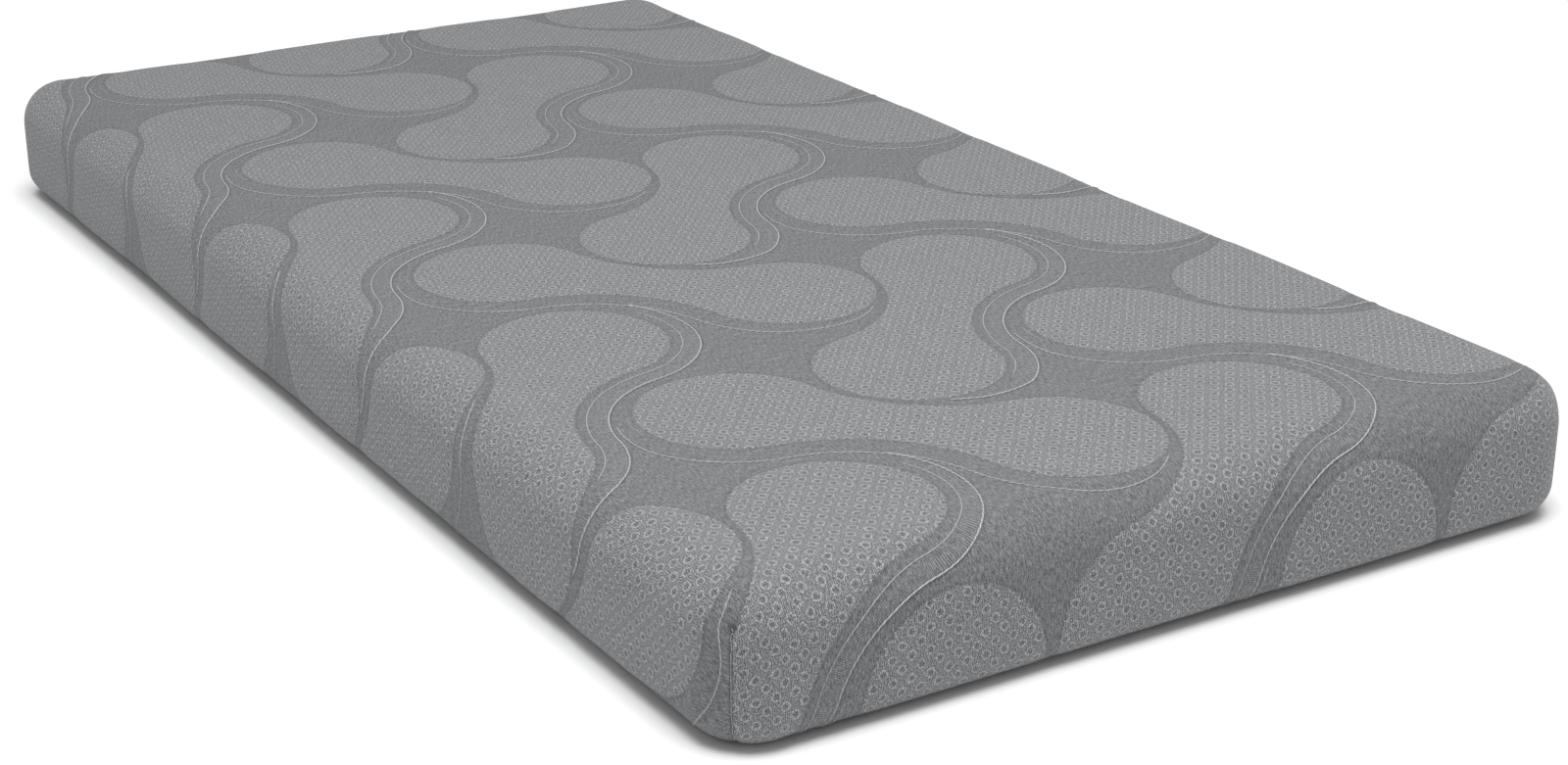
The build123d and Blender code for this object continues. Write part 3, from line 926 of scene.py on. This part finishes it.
base_panel.scale = (panel_size.x, panel_size.y, 1)
bpy.ops.object.transform_apply(location=True, rotation=True, scale=True)
bpy.ops.object.mode_set(mode="EDIT")
bpy.ops.mesh.select_all(action="SELECT")
bpy.ops.mesh.subdivide(number_cuts=60)
bpy.ops.object.mode_set(mode="OBJECT")
for point in base_panel.data.vertices:
    x, y = point.co.x, point.co.y
    inward = min(hem_x - abs(x), hem_y - abs(y))
    wave = 0.3 + 0.3 * math.sin(x * 19 + 0.8) * math.sin(y * 15 + 2.1)
    point.co.z += wave * MM * min(max(inward / 0.03, 0), 1)
body = base_panel.modifiers.new("thickness", "SOLIDIFY")
body.thickness = 1.2 * MM
body.offset = 1.0
bpy.ops.object.modifier_apply(modifier="thickness")
bpy.ops.object.shade_smooth_by_angle(angle=math.radians(40))
dress(base_panel, base_material, "mattress", "base_cloth", "cover_base_panel")


def repeat_along(piece, count, step):
    """Repeats a stitch count times, each one step on from the last."""
    only(piece)
    row = piece.modifiers.new("row", "ARRAY")
    row.count = count
    row.use_relative_offset = False
    row.use_constant_offset = True
    row.constant_offset_displace = step
    bpy.ops.object.modifier_apply(modifier="row")


# The overlock that joins the two shows from below as a row of thread loops all the way round the panel.
finish = Finish("overlock_thread", Specular_IOR_Level=0.3, Sheen_Weight=0.2)
place = finish.place()
loop_pitch = 3.6 * MM
plies = finish.step(finish.noise(place, 1 / (0.8 * MM), 1.0), 0.38, 0.62)
fuzz = finish.noise(place, 1500.0)
looped = finish.mixed(plies * 0.7 + fuzz * 0.3, (0.20, 0.20, 0.21), (0.46, 0.465, 0.48))
overlock_material = finish.done(looped, 0.8, plies * 0.8 + fuzz * 0.2, 0.25 * MM)
row_inset = 4 * MM
row_lift = 0.4 * MM
row_x = panel_high.x - row_inset
row_y = panel_high.y - row_inset
overlock_rows = []
for side in (1, -1):
    for start, heading, reach in (
        ((side * row_x, -row_y), (0, 1, 0), 2 * row_y),
        ((-row_x, side * row_y), (1, 0, 0), 2 * row_x),
    ):
        row = stitch("overlock_row", 3.3 * MM, 0.36 * MM, overlock_material)
        stood(row, (*start, row_lift), heading, (0, 0, -1))
        repeat_along(row, int(reach / loop_pitch) + 1, Vector(heading) * loop_pitch)
        overlock_rows.append(row)
for row in overlock_rows:
    row.select_set(True)
bpy.ops.object.join()
overlock = bpy.context.object
overlock.name = "overlock_loops"
dress(overlock, overlock_material, "mattress", "seam_thread", "base_seam_overlock")

# ---- Zip ----
# A nylon coil zip lets the cover come off. It runs low along one side: two woven tapes, each with a
# monofilament coil sewn along its edge, and a die-cast slider with a pull tab.
finish = Finish("zip_tape", Specular_IOR_Level=0.25, Sheen_Weight=0.15)
place = finish.place()
yarns = finish.ripple(place, "Y", 0.8 * MM)
ends_of_yarn = finish.ripple(place, "Z", 1.0 * MM)
lint = finish.noise(place, 500.0)
weave = yarns * 0.45 + ends_of_yarn * 0.35 + lint * 0.2
woven = finish.mixed(weave, (0.10, 0.10, 0.105), (0.22, 0.222, 0.23))
tape_material = finish.done(woven, 0.8, yarns * 0.5 + ends_of_yarn * 0.5, 0.2 * MM)
for node in ("zipper_tape_upper", "zipper_tape_lower"):
    tape = copied(node, node + "_cloth")
    tape_edge = tape.modifiers.new("edge", "BEVEL")
    tape_edge.width = 0.15 * MM
    tape_edge.segments = 2
    bpy.ops.object.modifier_apply(modifier="edge")
    dress(tape, tape_material, "mattress", "zip_tape", node)

finish = Finish("zip_coil", Specular_IOR_Level=0.5, Coat_Weight=0.2)
place = finish.place()
drawn = finish.noise(finish.stretched(place, (1.0, 0.3, 1.0)), 800.0)
nylon = finish.mixed(drawn, (0.11, 0.112, 0.118), (0.20, 0.203, 0.212))
coil_material = finish.done(nylon, 0.3 + drawn * 0.2, drawn, 0.05 * MM)
coil_pitch = 1.5 * MM
wire = 0.36 * MM
for node, phase in (("zipper_coil_upper", 0.0), ("zipper_coil_lower", 0.5)):
    low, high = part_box(node)
    middle = (low + high) / 2
    coil_radius = (high.z - low.z) / 2 - wire
    turns = int((high.y - low.y - 2 * coil_pitch) / coil_pitch)
    turns = turns
    start = low.y + coil_pitch * (1 + phase / 2)
    bpy.ops.object.select_all(action="DESELECT")
    bpy.ops.mesh.primitive_circle_add(vertices=5, radius=wire, location=(coil_radius, 0, 0))
    coil = bpy.context.object
    coil.name = node + "_turns"
    bpy.ops.object.transform_apply(location=True, rotation=True, scale=True)
    coil.data.transform(Matrix.Rotation(math.pi / 2, 4, "X"))
    winding = coil.modifiers.new("winding", "SCREW")
    winding.axis = "Z"
    winding.steps = 7
    winding.render_steps = 7
    winding.iterations = turns
    winding.screw_offset = coil_pitch
    bpy.ops.object.modifier_apply(modifier="winding")
    lengthways = Matrix.Rotation(-math.pi / 2, 4, "X")
    coil.data.transform(Matrix.Translation((middle.x, start, middle.z)) @ lengthways)
    bpy.ops.object.mode_set(mode="EDIT")
    choose_open_edges()
    bpy.ops.mesh.edge_face_add()
    bpy.ops.mesh.select_all(action="SELECT")
    bpy.ops.mesh.normals_make_consistent(inside=False)
    bpy.ops.object.mode_set(mode="OBJECT")
    bpy.ops.object.shade_smooth()
    dress(coil, coil_material, "mattress", "zip_coil", node)

finish = Finish("zip_metal", Metallic=1.0)
place = finish.place()
cast = finish.noise(place, 420.0, 3.0)
brushed = finish.noise(finish.stretched(place, (1.0, 0.15, 1.0)), 1800.0)
plated = finish.mixed(cast, (0.42, 0.42, 0.43), (0.62, 0.62, 0.63))
metal = finish.done(plated, 0.28 + cast * 0.2 + brushed * 0.1, cast * 0.5 + brushed * 0.5, 0.04 * MM)
refinish(metal, "zipper_top_stops", "zipper_bottom_stop", "zipper_slider", "zipper_pull_tab")

# Two rows of lockstitch hold the tapes to the cover, one above the slot and one below it.
low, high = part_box("zipper_stitching")
row_pitch = 4.8 * MM
count = int((high.y - low.y) / row_pitch)
rows_of_stitches = []
for height in (low.z + 0.4 * MM, high.z - 0.4 * MM):
    first = stitch("zip_row", 3.9 * MM, 0.4 * MM, grey_thread)
    stood(first, ((low.x + high.x) / 2 - 0.1 * MM, low.y + row_pitch / 2, height), (0, 1, 0), (1, 0, 0))
    repeat_along(first, count, (0, row_pitch, 0))
    rows_of_stitches.append(first)
only(rows_of_stitches[0])
rows_of_stitches[1].select_set(True)
bpy.ops.object.join()
zip_rows = bpy.context.object
zip_rows.name = "zip_rows_of_stitches"
dress(zip_rows, grey_thread, "mattress", "seam_thread", "zipper_stitching")

# ---- Label ----
# A blank label of white spunbonded cloth is sewn to the head end by its top edge and hangs free below,
# so that its lower corners lift a little from the cover.
finish = Finish("label_cloth", Specular_IOR_Level=0.25, Sheen_Weight=0.1)
place = finish.place()
bonds = finish.node("TexVoronoi", {"feature": "F1"}, {"Vector": place, "Scale": 1 / (1.3 * MM)})
fibres = finish.noise(finish.stretched(place, (1.0, 1.0, 0.4)), 1100.0, 3.0)
spun = finish.mixed(bonds * 0.5 + fibres * 0.5, (0.68, 0.68, 0.67), (0.86, 0.86, 0.85))
label_material = finish.done(spun, 0.75, bonds * 0.6 + fibres * 0.4, 0.12 * MM)
label_size = label_high - label_low
bpy.ops.object.select_all(action="DESELECT")
bpy.ops.mesh.primitive_plane_add(size=1, location=(0, 0, 0))
label = bpy.context.object
label.name = "blank_label"
label.scale = (label_size.x, label_size.z, 1)
bpy.ops.object.transform_apply(location=False, rotation=False, scale=True)
bpy.ops.object.mode_set(mode="EDIT")
bpy.ops.mesh.select_all(action="SELECT")
bpy.ops.mesh.subdivide(number_cuts=20)
bpy.ops.object.mode_set(mode="OBJECT")
label.data.transform(Matrix.Translation(label_middle) @ Matrix.Rotation(math.pi / 2, 4, "X"))
for point in label.data.vertices:
    hang = (label_high[2] - point.co.z) / label_size.z
    across = (point.co.x - label_middle[0]) / label_size.x * 2
    point.co.y = label_high[1] - 0.2 * MM + hang**2 * (1.2 + 1.4 * across**2) * MM
thin = label.modifiers.new("thickness", "SOLIDIFY")
thin.thickness = 0.3 * MM
thin.offset = 0.0
bpy.ops.object.modifier_apply(modifier="thickness")
bpy.ops.object.shade_smooth_by_angle(angle=math.radians(40))
dress(label, label_material, "mattress", "label_cloth", "law_label")

low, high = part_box("label_stitching")
label_pitch = 3.0 * MM
first = stitch("label_stitches", 2.5 * MM, 0.35 * MM, white_thread)
stood(first, (low.x + label_pitch / 2, label_high[1] + 0.25 * MM, (low.z + high.z) / 2), (1, 0, 0), (0, 1, 0))
repeat_along(first, int((high.x - low.x) / label_pitch), (label_pitch, 0, 0))
dress(first, white_thread, "mattress", "seam_thread", "label_stitching")

# ---- Stage ----
# A plain pale floor under an even sky, with a broad soft light overhead and a second one nearer. The camera
# looks down along the mattress from beyond its near left corner.
bpy.ops.mesh.primitive_plane_add(size=60, location=(0, 0, -0.2 * MM))
floor = bpy.context.object
floor.name = "floor"
finish = Finish("floor", Specular_IOR_Level=0.0)
finish.shader.inputs["Base Color"].default_value = (0.96, 0.96, 0.96, 1)
finish.shader.inputs["Roughness"].default_value = 1.0
floor.data.materials.append(finish.material)

world = bpy.data.worlds.new("sky")
bpy.context.scene.world = world
world.use_nodes = True
world.node_tree.nodes["Background"].inputs["Color"].default_value = (1, 1, 1, 1)
world.node_tree.nodes["Background"].inputs["Strength"].default_value = 0.37

lamp = bpy.data.lights.new("high_light", "SUN")
lamp.energy = 2.08
lamp.angle = math.radians(42)
high_light = bpy.data.objects.new("high_light", lamp)
high_light.rotation_euler = Vector((0.0, 0.05, -1)).to_track_quat("-Z", "Y").to_euler()
bpy.context.scene.collection.objects.link(high_light)
lamp = bpy.data.lights.new("near_light", "AREA")
lamp.shape = "DISK"
lamp.size = 1.6
lamp.energy = 27
near_light = bpy.data.objects.new("near_light", lamp)
near_light.location = (-0.3, -1.1, 2.5)
bpy.context.scene.collection.objects.link(near_light)

camera = bpy.data.cameras.new("camera")
camera.sensor_width = 36
camera.lens = 63.025
camera_holder = bpy.data.objects.new("camera", camera)
camera_holder.location = (-1.50292, -2.67951, 1.13218)
camera_holder.rotation_euler = (math.radians(90 - 21.462), 0, -math.radians(31.684))
bpy.context.scene.collection.objects.link(camera_holder)
bpy.context.scene.camera = camera_holder
bpy.context.scene.view_settings.view_transform = "Standard"

bpy.context.view_layer.update()
